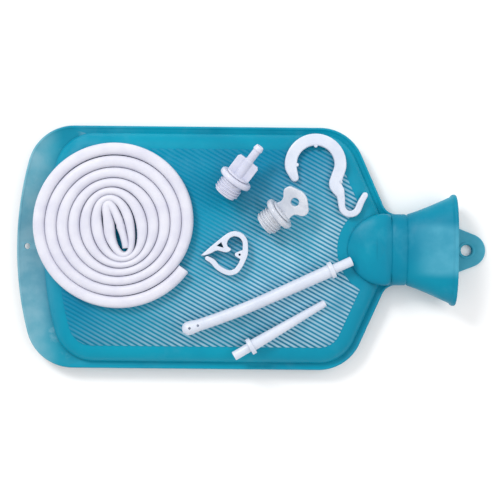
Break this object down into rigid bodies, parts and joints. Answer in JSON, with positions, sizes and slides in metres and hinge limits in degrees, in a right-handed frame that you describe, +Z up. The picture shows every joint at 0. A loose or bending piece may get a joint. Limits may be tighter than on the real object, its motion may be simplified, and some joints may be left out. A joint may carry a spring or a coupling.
{
  "type": "rubber water bag with hose and screw fittings",
  "caption": "Flat rubber water bag with a funnel mouth, a coiled hose, a screw stopper, a hose connector, a hanging hook, a pinch clamp and two nozzles.",
  "frame": {"origin": "centre of the bag on the surface it lies on, under the whole set's bounding box", "axes": "+X along the bag towards its funnel, +Y across the bag, +Z up"},
  "size_m": [0.386, 0.1984, 0.0535],
  "materials": {
    "rubber": "satin, with a pale bloom on the flange",
    "insert_plastic": "satin",
    "milky_plastic": "satin, slightly translucent",
    "white_plastic": "satin",
    "hose_rubber": "matte, powdered"
  },
  "bodies": {
    "bag": {"bag_front_wall": "rubber", "bag_back_wall": "rubber", "rib_panel": "rubber", "seam_flange": "rubber", "base_flange": "rubber", "neck_funnel": "rubber", "neck_boss": "rubber", "hanging_tab": "rubber", "thread_insert": "insert_plastic"},
    "stopper": {"stopper": "milky_plastic", "stopper_washer": "milky_plastic"},
    "connector": {"hose_connector": "white_plastic", "connector_washer": "white_plastic"},
    "hook": {"hanging_hook": "white_plastic"},
    "clamp": {"clamp_frame": "white_plastic"},
    "clamp_arm": {"clamp_jaw": "white_plastic"},
    "long_nozzle": {"long_nozzle": "white_plastic"},
    "short_nozzle": {"short_nozzle": "white_plastic"},
    "hose": {"hose_coil": "hose_rubber", "hose_tail": "hose_rubber"}
  },
  "joints": [
    {"name": "stopper_lift", "type": "slide", "parent": "bag", "child": "stopper", "axis": [0, 0, 1], "range_m": [0, 0.1]},
    {"name": "connector_lift", "type": "slide", "parent": "bag", "child": "connector", "axis": [0, 0, 1], "range_m": [0, 0.1]},
    {"name": "hook_lift", "type": "slide", "parent": "bag", "child": "hook", "axis": [0, 0, 1], "range_m": [0, 0.1]},
    {"name": "clamp_lift", "type": "slide", "parent": "bag", "child": "clamp", "axis": [0, 0, 1], "range_m": [0, 0.1]},
    {"name": "clamp_arm_flex", "type": "hinge", "parent": "clamp", "child": "clamp_arm", "pos_m": [-0.0153, 0.0115, 0.0305], "axis": [0, 0, 1], "range_deg": [-12, 0]},
    {"name": "long_nozzle_lift", "type": "slide", "parent": "bag", "child": "long_nozzle", "axis": [0, 0, 1], "range_m": [0, 0.1]},
    {"name": "short_nozzle_lift", "type": "slide", "parent": "bag", "child": "short_nozzle", "axis": [0, 0, 1], "range_m": [0, 0.1]},
    {"name": "hose_lift", "type": "slide", "parent": "bag", "child": "hose", "axis": [0, 0, 1], "range_m": [0, 0.1]}
  ]
}
